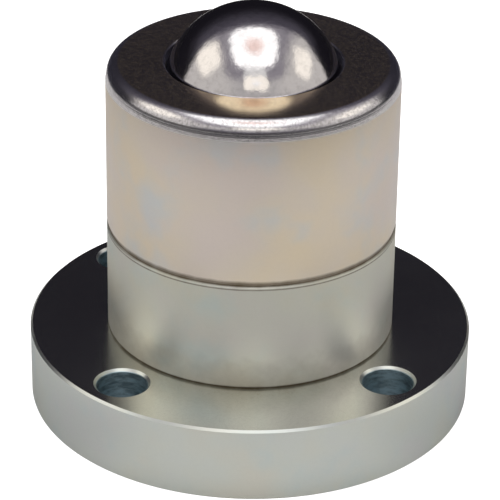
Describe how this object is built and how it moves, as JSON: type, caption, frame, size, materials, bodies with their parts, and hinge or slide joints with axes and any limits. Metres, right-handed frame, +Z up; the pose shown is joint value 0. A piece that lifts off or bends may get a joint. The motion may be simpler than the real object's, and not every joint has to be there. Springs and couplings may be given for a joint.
{
  "type": "ball transfer unit",
  "caption": "Flange-mounted ball transfer unit: a steel load ball rolls on bearing balls inside a round housing.",
  "frame": {"origin": "centre of the flange's underside, on the surface that the unit stands or is bolted on", "axes": "+Z up the unit's axis through the load ball; the mounting holes lie at 45 degrees between +X and +Y"},
  "size_m": [0.04, 0.04, 0.0375],
  "materials": {
    "flange_zinc": "turned steel, zinc plated with a clear chromate",
    "housing_zinc": "turned steel, zinc plated with a clear chromate",
    "cap_zinc": "turned steel, zinc plated with a clear chromate",
    "ball_steel": "polished bearing steel",
    "hardened_steel": "hardened and ground",
    "felt": "pressed wool felt, oiled",
    "screw_steel": "black oxide"
  },
  "bodies": {
    "housing": {"flange_plate": "flange_zinc", "lower_housing": "housing_zinc", "race_cup": "hardened_steel", "keeper_ring": "hardened_steel", "felt_seal": "felt", "seal_washer": "hardened_steel", "top_cap": "cap_zinc", "base_screw_1": "screw_steel", "base_screw_2": "screw_steel", "base_screw_3": "screw_steel", "base_screw_4": "screw_steel", "lock_washer_1": "screw_steel", "lock_washer_2": "screw_steel", "lock_washer_3": "screw_steel", "lock_washer_4": "screw_steel"},
    "bearing_balls": {"bearing_balls_1": "ball_steel", "bearing_balls_2": "ball_steel", "bearing_balls_3": "ball_steel", "bearing_balls_4": "ball_steel", "bearing_balls_5": "ball_steel", "bearing_balls_6": "ball_steel"},
    "load_ball": {"main_ball": "ball_steel"}
  },
  "joints": [
    {"name": "ball_swivel", "type": "hinge", "parent": "housing", "child": "bearing_balls", "pos_m": [0, 0, 0.02956], "axis": [0, 0, 1], "continuous": true},
    {"name": "ball_roll", "type": "hinge", "parent": "bearing_balls", "child": "load_ball", "pos_m": [0, 0, 0.02956], "axis": [1, 0, 0], "continuous": true}
  ]
}
